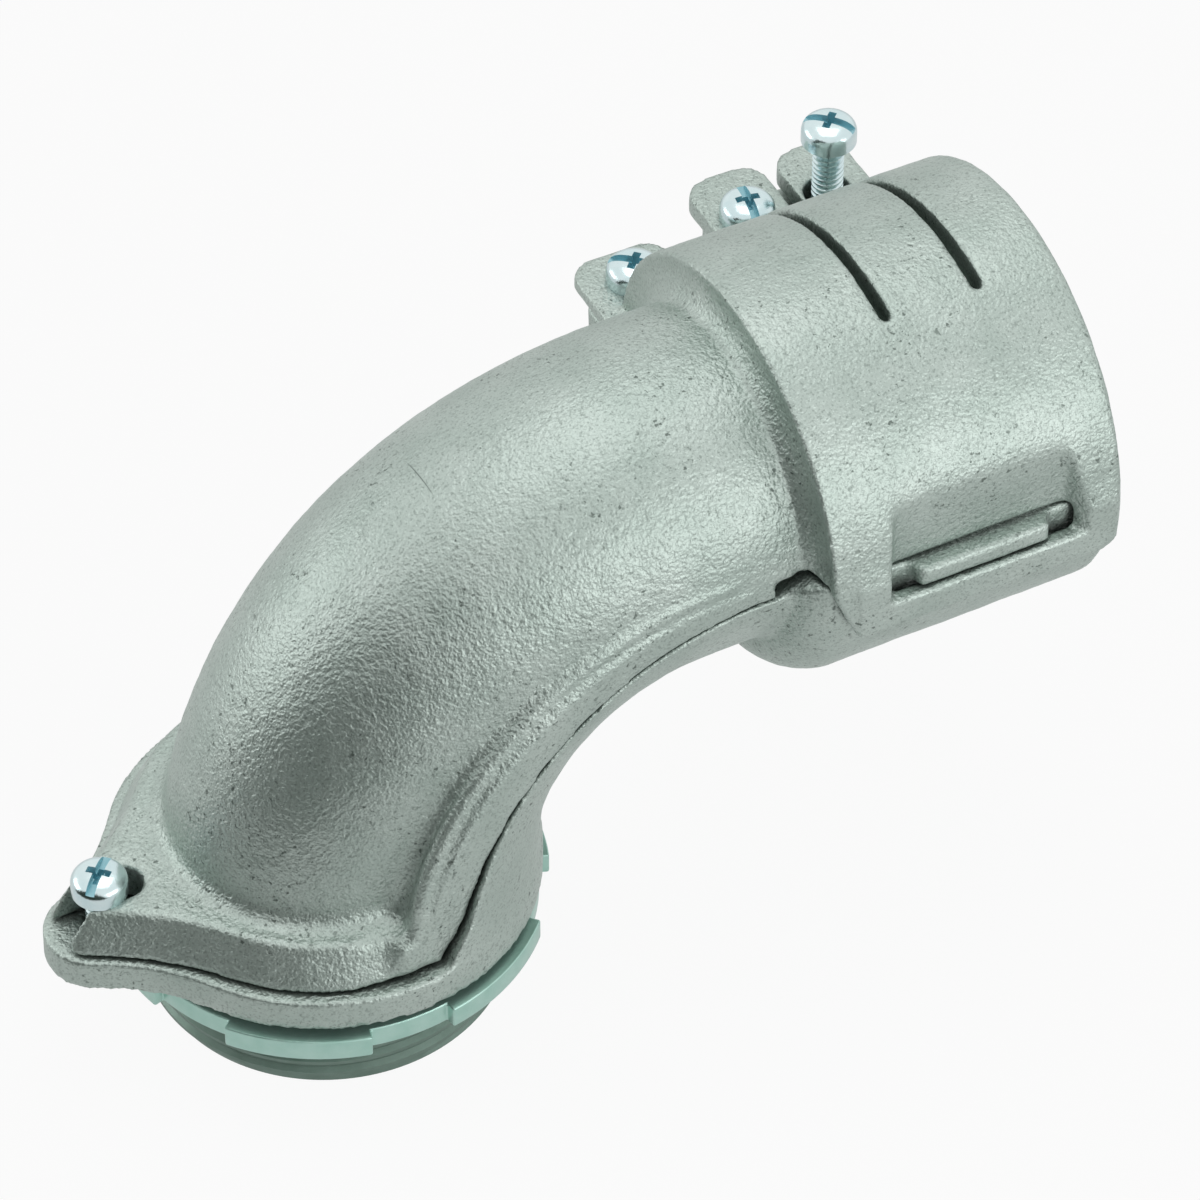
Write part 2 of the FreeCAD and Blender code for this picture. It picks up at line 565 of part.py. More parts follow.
for name, (left, right, reach, low, x, y) in EARS.items():
    ends = [
        cylinder(f"{name}_hole_{side}", "Z", "ear_hole_radius", CEILING, f"{x} {sign} ear_hole_shift", y, 0)
        for side, sign in (("in", "-"), ("out", "+"))
    ]
    middle = box(f"{name}_hole_middle", (f"{x} - ear_hole_shift", f"{x} + ear_hole_shift"),
                 (f"{y} - ear_hole_radius", f"{y} + ear_hole_radius"), (0, CEILING))
    ear_holes.append(join(f"{name}_hole", ends + [middle]))
cover_walls = cut("cover_walls", cover_solid,
                  cover_passage + [cover_nest, far_edge, strap_edge, pocket, heel_slot] + slots + ear_holes)
doc.recompute()


def hollow_creases(shape):
    """Numbers of the edges where the elbow meets the heel flange and the flange up its side."""
    elbow = max((f for f in shape.Faces if isinstance(f.Surface, Part.BSplineSurface)), key=lambda f: f.Area)
    for i, edge in enumerate(shape.Edges, start=1):
        faces = shape.ancestorsOfType(edge, Part.Face)
        beside = [f for f in faces if not f.isSame(elbow)]
        if len(beside) != 1 or len(faces) != 2:
            continue
        flat = isinstance(beside[0].Surface, Part.Plane)
        on_heel = flat and abs(edge.CenterOfMass.z - value(COVER_TOP)) < TOUCH
        up_side = isinstance(beside[0].Surface, Part.Cylinder) and edge.Length > value("inner_bend_radius")
        if on_heel or up_side:
            yield i


cover = doc.addObject("Part::Fillet", "cover_casting")
cover.Base = cover_walls
cover.Edges = [(i, value("elbow_fillet"), value("elbow_fillet")) for i in hollow_creases(cover_walls.Shape)]

# Body casting: threaded hub, flange, bend, neck and barrel; one long ear lies under both straps
hub = doc.addObject("Part::Cone", "hub_lead_in")
bind(hub, "Radius1", "thread_radius - thread_chamfer")
bind(hub, "Radius2", "thread_radius")
bind(hub, "Height", "thread_chamfer")
place(hub, 0, 0, "-thread_length")
thread = cylinder("hub_thread", "Z", "thread_radius", f"thread_length - thread_chamfer + {OVERLAP}", 0, 0,
                  "thread_chamfer - thread_length")
body_plate_outline = teardrop("body_plate_outline", 0, "flange_radius", "heel_round", "heel_hollow")
body_plate = extrude("body_plate", body_plate_outline, "flange_height")
body_bend = bent(
    "body_bend", INNER_CENTRE, COLLAR_TOP,
    (INNER_CENTRE, "inner_bend_radius + neck_half_width"), ("collar_radius", "neck_half_width"),
    foot="0", tail="stop_x")
body_barrel = turned("body_barrel", sketch_on("body_barrel_outline", "XZ", [
    ("dome_x", "axis_height"),
    ("rim_x", "axis_height"),
    ("rim_x", "axis_height + body_barrel_radius - rim_round", ("rim_round", "left")),
    ("rim_x - rim_round", "axis_height + body_barrel_radius"),
    (f"dome_x + {DOME}", "axis_height + body_barrel_radius", (DOME, "left")),
    ("dome_x", "axis_height + underside_drop"),
]))
BODY_EARS = {"elbow": EARS["elbow"][:3], "strap": (EARS["strap"][0], EARS["ring"][1], "ear_reach")}
body_ears = [
    ear(f"body_{name}_ear", f"{left} + body_ear_inset", f"{right} - body_ear_inset",
        f"{reach} - body_ear_inset", "axis_height - body_ear_depth", LOWER)
    for name, (left, right, reach) in BODY_EARS.items()
]

# Body casting: the room below the parting; it ramps up under the arch to the height of the tab
body_room = extrude("body_room", sketch_on("body_room_outline", "XZ", parting("-joint_gap / 2") + [
    ("arch_left", LOWER),
    ("shoulder_x", "axis_height + tab_rise"),
    (f"rim_x + {OVERLAP}", "axis_height + tab_rise"),
    (f"rim_x + {OVERLAP}", f"-{REACH}"),
    (f"-{REACH}", f"-{REACH}"),
]), 2 * REACH, True)
body_solid = common("body_solid", [
    join("body_masses", [hub, thread, body_plate, body_bend, body_barrel] + body_ears),
    body_room,
])
body_passage = passage("body_way", 0)
hub_throat = cylinder("hub_throat", "Z", "throat_radius", f"thread_length + {OVERLAP}", 0, 0,
                      f"-thread_length - {OVERLAP}")
body_far_edge = box("body_far_edge", ("parting_end", f"rim_x + {OVERLAP}"), (0, REACH), (LOWER, CEILING))
SCREW_PLACES = {"heel": ("-heel_screw_reach", 0)}
SCREW_PLACES.update({name: ear_row[4:] for name, ear_row in EARS.items()})
body_holes = [
    cylinder(f"{name}_thread", "Z", "screw_radius + screw_fit", CEILING, x, y, -OVERLAP)
    for name, (x, y) in SCREW_PLACES.items()
]
body_hook_flat = box("body_hook_flat", ("shoulder_x", f"rim_x + {OVERLAP}"), (-REACH, "-body_flat"),
                     ("axis_height - skirt_drop - body_flat_drop", CEILING))
body_hollow = cut("body_hollow", body_solid,
                  [hub_throat] + body_passage + [body_far_edge, body_hook_flat] + body_holes)
tab = extrude("tab", sketch_on("tab_outline", "XY", [
    ("tab_left", "-bore_radius - tab_root"),
    ("tab_left + tab_bevel", "-tab_reach"),
    ("tab_right - tab_bevel", "-tab_reach"),
    ("tab_right", "-bore_radius - tab_root"),
], "axis_height - tab_drop"), "tab_drop + tab_rise")
body = join("body_casting", [body_hollow, tab])
body.Refine = True
doc.recompute()


# Locknut and screws: solid bodies built from sketches
def new_body(name):
    solid = doc.addObject("PartDesign::Body", name)
    roles = {face.Role: face for face in solid.Origin.OriginFeatures}
    return solid, roles


def body_sketch(solid, roles, plane, name, offset="0"):
    sketch = solid.newObject("Sketcher::SketchObject", name)
    sketch.AttachmentSupport = [(roles[plane], "")]
    sketch.MapMode = "FlatFace"
    bind(sketch, "AttachmentOffset.Base.z", offset)
    return sketch


def circle_in(sketch, radius):
    circle = Part.Circle(FreeCAD.Vector(), FreeCAD.Vector(0, 0, 1), value(radius))
    index = sketch.addGeometry(circle, False)
    sketch.addConstraint(Sketcher.Constraint("Coincident", index, 3, -1, 1))
    number = sketch.addConstraint(Sketcher.Constraint("Radius", index, value(radius)))
    bind(sketch, f"Constraints[{number}]", radius)


locknut, planes = new_body("locknut")
ring_sketch = body_sketch(locknut, planes, "XY_Plane", "locknut_ring_outline")
circle_in(ring_sketch, "locknut_radius")
circle_in(ring_sketch, "thread_radius + locknut_fit")
ring = locknut.newObject("PartDesign::Pad", "locknut_ring")
ring.Profile = ring_sketch
bind(ring, "Length", "locknut_thick")
doc.recompute()
lug_sketch = body_sketch(locknut, planes, "XY_Plane", "locknut_lug_outline")
INSIDE = f"(locknut_radius - {OVERLAP})"
outline(lug_sketch, [
    (f"{INSIDE} * cos(lug_half_angle)", f"-{INSIDE} * sin(lug_half_angle)"),
    ("lug_radius * cos(lug_half_angle)", "-lug_radius * sin(lug_half_angle)", ("lug_radius", "left")),
    ("lug_radius * cos(lug_half_angle)", "lug_radius * sin(lug_half_angle)"),
    (f"{INSIDE} * cos(lug_half_angle)", f"{INSIDE} * sin(lug_half_angle)"),
])
lug = locknut.newObject("PartDesign::Pad", "locknut_lug")
lug.Profile = lug_sketch
bind(lug, "Length", "locknut_thick")
doc.recompute()
lugs = locknut.newObject("PartDesign::PolarPattern", "locknut_lugs")
lugs.Originals = [lug]
lugs.Axis = (planes["Z_Axis"], [""])
lugs.Angle = 360
lugs.Occurrences = LUGS
locknut.Tip = lugs
locknut.Placement.Rotation = FreeCAD.Rotation(FreeCAD.Vector(0, 0, 1), value("locknut_turn"))
place(locknut, 0, 0, "-locknut_top - locknut_thick")
doc.recompute()


def screw(name, length, x, y, z):
    """Domed head with a driver slot and a cross recess, on a plain shank; the head sits at z."""
    solid, roles = new_body(name)
    profile = body_sketch(solid, roles, "XZ_Plane", f"{name}_profile")
    dome = "head_height - head_side"
    outline(profile, [
        (0, f"-({length})"),
        ("screw_radius - screw_point", f"-({length})"),
        ("screw_radius", f"screw_point - ({length})"),
        ("screw_radius", 0),
        ("head_radius", 0),
        ("head_radius", "head_side", (f"(head_radius ^ 2 + ({dome}) ^ 2) / (2 * ({dome}))", "left")),
        (0, "head_height"),
    ])
    turn = solid.newObject("PartDesign::Revolution", f"{name}_turned")
    turn.Profile = profile
    turn.ReferenceAxis = (profile, ["V_Axis"])
    turn.Angle = 360
    doc.recompute()
    for kind, half_x, half_y, depth in (
            ("slot", f"head_radius + {OVERLAP}", "slot_half", "slot_depth"),
            ("cross", "slot_half", "cross_half", "cross_depth"),
            ("cross_along", "cross_half", "slot_half", "cross_depth")):
        recess = body_sketch(solid, roles, "XY_Plane", f"{name}_{kind}_outline", "head_height")
        outline(recess, [
            (f"-({half_x})", f"-({half_y})"), (half_x, f"-({half_y})"),
            (half_x, half_y), (f"-({half_x})", half_y)])
        sunk = solid.newObject("PartDesign::Pocket", f"{name}_{kind}")
        sunk.Profile = recess
        bind(sunk, "Length", depth)
        doc.recompute()
    place(solid, x, y, z)
    return solid


heel_screw = screw("heel_screw", "heel_screw_length", "-heel_screw_reach", 0, COVER_TOP)
elbow_screw = screw("elbow_screw", "screw_length", "elbow_screw_x", "elbow_screw_reach", EAR_HIGH)
strap_screw = screw("strap_screw", "screw_length", "strap_screw_x", "screw_reach", EAR_HIGH)
ring_screw = screw("ring_screw", "screw_length", "ring_screw_x", "screw_reach",
                   f"{EAR_HIGH} + ring_screw_raise")
doc.recompute()

# Every object built, then one file a piece
for thing in doc.Objects:
    if "Invalid" in thing.State or "Error" in thing.State:
        raise RuntimeError(f"{thing.Name} did not build: {thing.State}")
os.makedirs("parts", exist_ok=True)
PIECES = {
    "body_casting": body,
    "cover_casting": cover,
    "locknut": locknut,
    "heel_screw": heel_screw,
    "elbow_screw": elbow_screw,
    "strap_screw": strap_screw,
    "ring_screw": ring_screw,
}
for node, solid in PIECES.items():
    solid.Label = node
    if solid.Shape.isNull() or not solid.Shape.isValid():
        raise RuntimeError(f"{node} has no valid shape")
    solid.Shape.exportStep(f"parts/{node}.step")
    print(node, "solids", len(solid.Shape.Solids), "volume mm3", round(solid.Shape.Volume, 1))
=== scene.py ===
import math

import bpy
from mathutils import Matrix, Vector


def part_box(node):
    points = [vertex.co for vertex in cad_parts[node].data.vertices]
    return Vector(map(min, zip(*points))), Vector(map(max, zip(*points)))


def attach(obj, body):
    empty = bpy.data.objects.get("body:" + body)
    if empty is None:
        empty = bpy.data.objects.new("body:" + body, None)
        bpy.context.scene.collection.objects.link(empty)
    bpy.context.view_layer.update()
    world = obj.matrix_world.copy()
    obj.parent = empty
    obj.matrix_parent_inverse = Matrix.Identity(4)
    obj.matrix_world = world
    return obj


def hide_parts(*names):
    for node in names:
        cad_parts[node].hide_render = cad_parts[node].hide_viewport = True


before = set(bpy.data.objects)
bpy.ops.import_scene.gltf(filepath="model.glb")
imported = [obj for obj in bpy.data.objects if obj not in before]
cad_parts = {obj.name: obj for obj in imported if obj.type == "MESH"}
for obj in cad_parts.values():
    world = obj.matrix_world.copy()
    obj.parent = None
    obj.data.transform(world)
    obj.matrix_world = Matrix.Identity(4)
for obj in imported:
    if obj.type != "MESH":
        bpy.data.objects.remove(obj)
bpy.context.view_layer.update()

# Cover: the upper half shell, sand cast in malleable iron and zinc coated. The mould leaves soft
# edges, low lumps and a pebbled skin. It hooks over the body along one side and the screws draw it
# down along the other.
MM = 0.001
WELD = 0.005 * MM
CAST_GRID = 0.7 * MM
CAST_THINNING = 0.57
CAST_SMOOTHING = 3
LUMP_SIZE = 9 * MM
LUMP_HEIGHT = 0.25 * MM
PEBBLE_SIZE = 2.2 * MM
PEBBLE_HEIGHT = 0.12 * MM

# The cover's flange has a rounded bead up both sides of the elbow, and no step where it leaves the
# heel. The hook pocket runs out of the barrel with no edge along its top.
RIM_CENTRE = Vector((71.2, 0, 3.1)) * MM
RIM_RADIUS = 71.2 * MM
RIM_FROM = math.radians(171)
RIM_TO = math.radians(90)
RIM_HEEL_WIDTH = 38.6 * MM
RIM_NECK_WIDTH = 33.6 * MM
RIM_HOLLOW = 1.8 * MM
BEAD_RADIUS = 2.0 * MM
BEAD_TAPER = 0.3
BEAD_STEPS = 40
CORNER = Vector((-1.5, 39.5, 13.5)) * MM
CORNER_REACH = 11 * MM
POCKET_EDGE = Vector((0, -40.0, 90.7)) * MM
POCKET_STEPS = [x * MM for x in range(104, 135, 6)]
POCKET_REACH = 8 * MM
RUB_SMOOTHING = 60


def select_only(piece):
    """Makes one piece the active and only selected object."""
    bpy.ops.object.select_all(action="DESELECT")
    piece.select_set(True)
    bpy.context.view_layer.objects.active = piece


def apply_modifier(piece, kind, **settings):
    """Adds a modifier with these settings to a piece and applies it."""
    select_only(piece)
    modifier = piece.modifiers.new(kind, kind)
    for key, value in settings.items():
        setattr(modifier, key, value)
    bpy.ops.object.modifier_apply(modifier=modifier.name)


def copy_of(node, name):
    """A CAD node's mesh as a new piece, with the doubled points along its edges merged."""
    piece = bpy.data.objects.new(name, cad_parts[node].data.copy())
    bpy.context.scene.collection.objects.link(piece)
    piece.data.materials.clear()
    select_only(piece)
    bpy.ops.mesh.customdata_custom_splitnormals_clear()
    bpy.ops.object.mode_set(mode="EDIT")
    bpy.ops.mesh.select_all(action="SELECT")
    bpy.ops.mesh.remove_doubles(threshold=WELD)
    bpy.ops.object.mode_set(mode="OBJECT")
    return piece


def join_pieces(piece, others):
    """Makes other objects part of a piece."""
    bpy.ops.object.select_all(action="DESELECT")
    for other in others:
        other.select_set(True)
    piece.select_set(True)
    bpy.context.view_layer.objects.active = piece
    bpy.ops.object.join()


def flange_bead(side):
    """A rounded bead up the edge of the cover's flange on one side of the elbow."""
    curve = bpy.data.curves.new("flange_bead", "CURVE")
    curve.dimensions = "3D"
    curve.bevel_depth = BEAD_RADIUS
    curve.use_fill_caps = True
    spline = curve.splines.new("POLY")
    spline.points.add(BEAD_STEPS)
    for step, point in enumerate(spline.points):
        share = step / BEAD_STEPS
        angle = RIM_FROM + (RIM_TO - RIM_FROM) * share
        straight_width = RIM_HEEL_WIDTH + (RIM_NECK_WIDTH - RIM_HEEL_WIDTH) * share
        width = straight_width - 4 * RIM_HOLLOW * share * (1 - share)
        on_rim = RIM_CENTRE + RIM_RADIUS * Vector((math.cos(angle), 0, math.sin(angle)))
        point.co = (on_rim.x, side * width, on_rim.z, 1)
        point.radius = 1 - BEAD_TAPER * share
    bead = bpy.data.objects.new("flange_bead", curve)
    bpy.context.scene.collection.objects.link(bead)
    select_only(bead)
    bpy.ops.object.convert(target="MESH")
    return bead


def rub_down(piece, points, reach):
    """Rubs down the skin round some points, in full as far as half of their reach."""
    group = piece.vertex_groups.new(name="rubbed")
    for vertex in piece.data.vertices:
        nearness = 1 - min((vertex.co - point).length for point in points) / reach
        if nearness > 0:
            group.add([vertex.index], min(2 * nearness, 1), "REPLACE")
    apply_modifier(piece, "SMOOTH", iterations=RUB_SMOOTHING, vertex_group=group.name)
    piece.vertex_groups.clear()


def cast_skin(piece, rubbed=()):
    """Gives a casting its soft edges and the low lumps and pebbles of its sand mould."""
    apply_modifier(piece, "REMESH", mode="VOXEL", voxel_size=CAST_GRID)
    apply_modifier(piece, "SMOOTH", iterations=CAST_SMOOTHING)
    for points, reach in rubbed:
        rub_down(piece, points, reach)
    for size, height in ((LUMP_SIZE, LUMP_HEIGHT), (PEBBLE_SIZE, PEBBLE_HEIGHT)):
        sand = bpy.data.textures.new("mould_marks", "CLOUDS")
        sand.noise_scale = size
        sand.noise_depth = 1
        apply_modifier(piece, "DISPLACE", texture=sand, texture_coords="LOCAL", strength=height)
    apply_modifier(piece, "DECIMATE", ratio=CAST_THINNING)
    select_only(piece)
    bpy.ops.object.shade_smooth()


# Mechanically galvanised malleable iron: a dull pale grey zinc coat with a faint green cast, over a
# sand-cast skin whose grain holds fine pits and clustered specks. Its crevices get painted shade.
COAT_DEEP = "#a3b3ab"
COAT_PALE = "#cad5cf"
PIT_TINT = "#7f8b85"
SPECK_TINT = "#56615b"
# Painted shade: the dark green grey laid into crevices, corners and gaps by ambient occlusion.
PAINTED_CREVICE_SHADE_TINT = "#2d3a32"
GRAIN_HEIGHT = 0.28 * MM
GRIT_HEIGHT = 0.06 * MM
CREVICE = 5 * MM
CREVICE_SAMPLES = 8
CAST_METALLIC = 0.75
CAST_ROUGHNESS = 0.45
CAST_SPECULAR = 0.4

# The size and the detail of each pattern in the skin. Grit and pits are finer on a real casting,
# and are drawn as coarse as they need to show.
CAST_PATTERNS = {
    "grain": (1.0 * MM, 1.5),
    "grit": (0.5 * MM, 1.0),
    "clouds": (14 * MM, 4.0),
    "pits": (0.55 * MM, 2.0),
    "specks": (1.1 * MM, 2.5),
    "speck_patches": (13 * MM, 2.0),
}

# A scratch across the top of the elbow, from one end to the other.
SCRATCH_FROM = Vector((24.1, 9.3, 91.3)) * MM
SCRATCH_TO = Vector((24.2, -4.2, 92.5)) * MM
SCRATCH_WIDTH = 0.35 * MM
SCRATCH_DEPTH = 1.5 * MM

# The levels of its pattern between which each mark fades, and how much of it shows at both.
MARK_FADES = {
    "pits": (0.30, 0.47, 0.6, 0.0),
    "specks": (0.62, 0.68, 0.0, 0.8),
    "speck_patches": (0.47, 0.58, 0.0, 1.0),
    "scratch": (0.6, 1.0, 0.7, 0.0),
    "painted_crevice_shade": (0.15, 0.65, 0.85, 0.0),
}


def linear(hex_colour):
    """An sRGB hex colour as linear red, green, blue and alpha."""
    shares = [int(hex_colour[i:i + 2], 16) / 255 for i in (1, 3, 5)]
    return [s / 12.92 if s <= 0.04045 else ((s + 0.055) / 1.055) ** 2.4 for s in shares] + [1.0]


def add_node(tree, kind, inputs=(), **settings):
    """Adds a node with its settings, and with a value or a link for each input named."""
    made = tree.nodes.new(kind)
    for key, value in settings.items():
        setattr(made, key, value)
    for key, value in dict(inputs).items():
        if isinstance(value, bpy.types.NodeSocket):
            tree.links.new(value, made.inputs[key])
        else:
            made.inputs[key].default_value = value
    return made


cast_zinc = bpy.data.materials.new("galvanised_cast_iron")
cast_zinc.use_nodes = True
tree = cast_zinc.node_tree
skin = tree.nodes["Principled BSDF"]
place = add_node(tree, "ShaderNodeTexCoord").outputs["Object"]
pattern = {}
for mark, (size, detail) in CAST_PATTERNS.items():
    mottle = {"Vector": place, "Scale": 1 / size, "Detail": detail}
    pattern[mark] = add_node(tree, "ShaderNodeTexNoise", mottle).outputs["Fac"]
# Painted shade: ambient occlusion darkens the coat's colour in crevices, corners and gaps.
crevice_shade_occlusion = add_node(
    tree, "ShaderNodeAmbientOcclusion", {"Distance": CREVICE}, samples=CREVICE_SAMPLES
)
pattern["painted_crevice_shade"] = crevice_shade_occlusion.outputs["AO"]
scratch_run = SCRATCH_TO - SCRATCH_FROM
scratch_place = {
    "Vector": place,
    "Location": (SCRATCH_FROM + SCRATCH_TO) / 2,
    "Rotation": scratch_run.to_track_quat("X", "Z").to_euler(),
    "Scale": (scratch_run.length / 2, SCRATCH_WIDTH / 2, SCRATCH_DEPTH),
}
along_scratch = add_node(tree, "ShaderNodeMapping", scratch_place, vector_type="TEXTURE")
from_scratch = add_node(
    tree, "ShaderNodeVectorMath", {0: along_scratch.outputs["Vector"]}, operation="LENGTH"
)
pattern["scratch"] = from_scratch.outputs["Value"]
shown = {}
for mark, (low, high, at_low, at_high) in MARK_FADES.items():
    fade = {"From Min": low, "From Max": high, "To Min": at_low, "To Max": at_high}
    ranged = add_node(tree, "ShaderNodeMapRange", {"Value": pattern[mark], **fade})
    shown[mark] = ranged.outputs["Result"]
clustered = add_node(
    tree, "ShaderNodeMath", {0: shown["specks"], 1: shown["speck_patches"]}, operation="MULTIPLY"
)
dark = add_node(
    tree, "ShaderNodeMath", {0: clustered.outputs["Value"], 1: shown["scratch"]}, operation="MAXIMUM"
)
coat = {"Factor": pattern["clouds"], "A": linear(COAT_DEEP), "B": linear(COAT_PALE)}
colour = add_node(tree, "ShaderNodeMix", coat, data_type="RGBA").outputs["Result"]
for share, tint in (
    (shown["pits"], PIT_TINT),
    (dark.outputs["Value"], SPECK_TINT),
    (shown["painted_crevice_shade"], PAINTED_CREVICE_SHADE_TINT),
):
    layer = {"Factor": share, "A": colour, "B": linear(tint)}
    colour = add_node(tree, "ShaderNodeMix", layer, data_type="RGBA").outputs["Result"]
fine = add_node(tree, "ShaderNodeBump", {"Height": pattern["grit"], "Distance": GRIT_HEIGHT})
coarse = {"Height": pattern["grain"], "Distance": GRAIN_HEIGHT, "Normal": fine.outputs["Normal"]}
bump = add_node(tree, "ShaderNodeBump", coarse)
tree.links.new(colour, skin.inputs["Base Color"])
tree.links.new(bump.outputs["Normal"], skin.inputs["Normal"])
skin.inputs["Metallic"].default_value = CAST_METALLIC
skin.inputs["Roughness"].default_value = CAST_ROUGHNESS
skin.inputs["Specular IOR Level"].default_value = CAST_SPECULAR

cover = copy_of("cover_casting", "cover_shell")
join_pieces(cover, [flange_bead(-1), flange_bead(1)])
flange_corners = [CORNER * Vector((1, side, 1)) for side in (-1, 1)]
pocket_edge = [POCKET_EDGE + Vector((along, 0, 0)) for along in POCKET_STEPS]
cast_skin(cover, [(flange_corners, CORNER_REACH), (pocket_edge, POCKET_REACH)])
cover.data.materials.append(cast_zinc)
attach(cover, "cover")
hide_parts("cover_casting")

# Body: the lower half shell with the hub, the same iron and coat as the cover. The hub carries a
# straight pipe thread, cut after casting, that goes through the wall of a box.
THREAD_PITCH = 3.175 * MM
THREAD_RADIUS = 36.5 * MM
THREAD_DEPTH = 1.0 * MM
THREAD_FLAT = 0.24
THREAD_STEPS = 144
THREAD_CHAMFER = 1.5 * MM
TURNS_BELOW = 2
TURNS_SPARE = 3
HUB_BORE = 30 * MM
HUB_DRILL = 94 * MM
HUB_CUT = -0.8 * MM
HUB_TOP = -0.3 * MM
CREASE = math.radians(22)
STAIN_SIZE = 4 * MM
STAIN_DETAIL = 3.0
TOOL_MARK = 0.35 * MM
TOOL_DETAIL = 1.0
TOOL_HEIGHT = 0.02 * MM


def cut_flat(level, direction):
    """Cuts the mesh in edit mode off flat at a level, on the side that faces up (1) or down (-1)."""
    bpy.ops.mesh.select_all(action="SELECT")
    bpy.ops.mesh.bisect(
        plane_co=(0, 0, level), plane_no=(0, 0, direction), use_fill=True, clear_outer=True
    )


def thread_rod(name, radius, depth, pitch, low, high, steps):
    """A solid rod round Z with a helical thread: one tooth's outline wound up and cut off flat."""
    bpy.ops.object.select_all(action="DESELECT")
    bpy.ops.mesh.primitive_plane_add(size=pitch, location=(0, 0, 0))
    rod = bpy.context.active_object
    rod.name = name
    bpy.ops.object.mode_set(mode="EDIT")
    bpy.ops.mesh.select_all(action="SELECT")
    bpy.ops.mesh.merge(type="CENTER")
    bpy.ops.transform.translate(value=(radius - depth, 0, low - TURNS_BELOW * pitch))
    flat = pitch * THREAD_FLAT
    flank = pitch / 2 - flat
    for step in ((depth, 0, flank), (0, 0, flat), (-depth, 0, flank), (0, 0, flat)):
        bpy.ops.mesh.extrude_vertices_move(TRANSFORM_OT_translate={"value": step})
    bpy.ops.object.mode_set(mode="OBJECT")
    turns = math.ceil((high - low) / pitch) + TURNS_SPARE
    apply_modifier(
        rod, "SCREW", axis="Z", angle=2 * math.pi, screw_offset=pitch, iterations=turns,
        steps=steps, render_steps=steps, use_merge_vertices=True, merge_threshold=WELD,
    )
    bpy.ops.object.mode_set(mode="EDIT")
    cut_flat(low, -1)
    cut_flat(high, 1)
    bpy.ops.mesh.select_all(action="SELECT")
    bpy.ops.mesh.remove_doubles(threshold=WELD)
    bpy.ops.mesh.normals_make_consistent(inside=False)
    bpy.ops.object.mode_set(mode="OBJECT")
    return rod


def chamfer_end(rod, radius, low, chamfer):
    """Draws the threads in to a cone at the lower end of a rod."""
    for vertex in rod.data.vertices:
        limit = radius - chamfer + max(vertex.co.z - low, 0)
        reach = math.hypot(vertex.co.x, vertex.co.y)
        if reach > limit:
            vertex.co.x *= limit / reach
            vertex.co.y *= limit / reach


def combine(piece, tool, operation, **settings):
    """Joins a tool to a piece or cuts it away, and deletes the tool."""
    apply_modifier(
        piece, "BOOLEAN", object=tool, operation=operation, solver="EXACT", **settings
    )
    bpy.data.objects.remove(tool)


def zinc_plate(name, pale, deep, metallic, roughness):
    """Zinc plate with a clear passivate: a tint that drifts a little, over faint tool marks."""
    plate = bpy.data.materials.new(name)
    plate.use_nodes = True
    tree = plate.node_tree
    skin = tree.nodes["Principled BSDF"]
    place = add_node(tree, "ShaderNodeTexCoord").outputs["Object"]
    drift = {"Vector": place, "Scale": 1 / STAIN_SIZE, "Detail": STAIN_DETAIL}
    stain = add_node(tree, "ShaderNodeTexNoise", drift).outputs["Fac"]
    cuts = {"Vector": place, "Scale": 1 / TOOL_MARK, "Detail": TOOL_DETAIL}
    marks = add_node(tree, "ShaderNodeTexNoise", cuts).outputs["Fac"]
    tints = {"Factor": stain, "A": linear(deep), "B": linear(pale)}
    tint = add_node(tree, "ShaderNodeMix", tints, data_type="RGBA")
    bump = add_node(tree, "ShaderNodeBump", {"Height": marks, "Distance": TOOL_HEIGHT})
    tree.links.new(tint.outputs["Result"], skin.inputs["Base Color"])
    tree.links.new(bump.outputs["Normal"], skin.inputs["Normal"])
    skin.inputs["Metallic"].default_value = metallic
    skin.inputs["Roughness"].default_value = roughness
    return plate


# Zinc plate on cut threads: smoother than the cast skin beside it. Its deeper green grey is painted
# shade, for the shadow under the body and the shaded floor that the flanks mirror.
cut_zinc_painted_shade = zinc_plate("zinc_plated_cut_thread_painted_shade", "#849a90", "#677d72", metallic=0.5, roughness=0.36)

body = copy_of("body_casting", "body_shell")
hub_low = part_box("body_casting")[0].z
bpy.ops.object.mode_set(mode="EDIT")
cut_flat(HUB_CUT, -1)
bpy.ops.object.mode_set(mode="OBJECT")
cast_skin(body)
body.data.materials.append(cast_zinc)
hub = thread_rod(
    "hub_thread", THREAD_RADIUS, THREAD_DEPTH, THREAD_PITCH, hub_low, HUB_TOP, THREAD_STEPS
)
chamfer_end(hub, THREAD_RADIUS, hub_low, THREAD_CHAMFER)
bpy.ops.object.select_all(action="DESELECT")
bpy.ops.mesh.primitive_cylinder_add(vertices=THREAD_STEPS, radius=HUB_BORE, depth=HUB_DRILL)
combine(hub, bpy.context.active_object, "DIFFERENCE")
# Painted shade: the hub thread is coloured darker than the coat to stand for its shadow.
hub.data.materials.append(cut_zinc_painted_shade)
select_only(hub)
bpy.ops.object.shade_smooth_by_angle(angle=CREASE)
join_pieces(body, [hub])
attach(body, "body")
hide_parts("body_casting")

# Locknut: a ring stamped from steel plate, with six lugs to drive it by, tapped and zinc plated
# bright. It runs on the hub thread and clamps the box wall against the seat.
NUT_EDGE = 0.5 * MM
NUT_EDGE_STEPS = 3
FLAT_ANGLE = math.radians(2)
SHARP_ANGLE = math.radians(40)

# Bright zinc plate with a blue-green passivate: pale steel with a cold tint.
nut_zinc = zinc_plate(
    "bright_zinc_plated_stamping", "#c6e6dc", "#9fcdbf", metallic=0.6, roughness=0.28
)

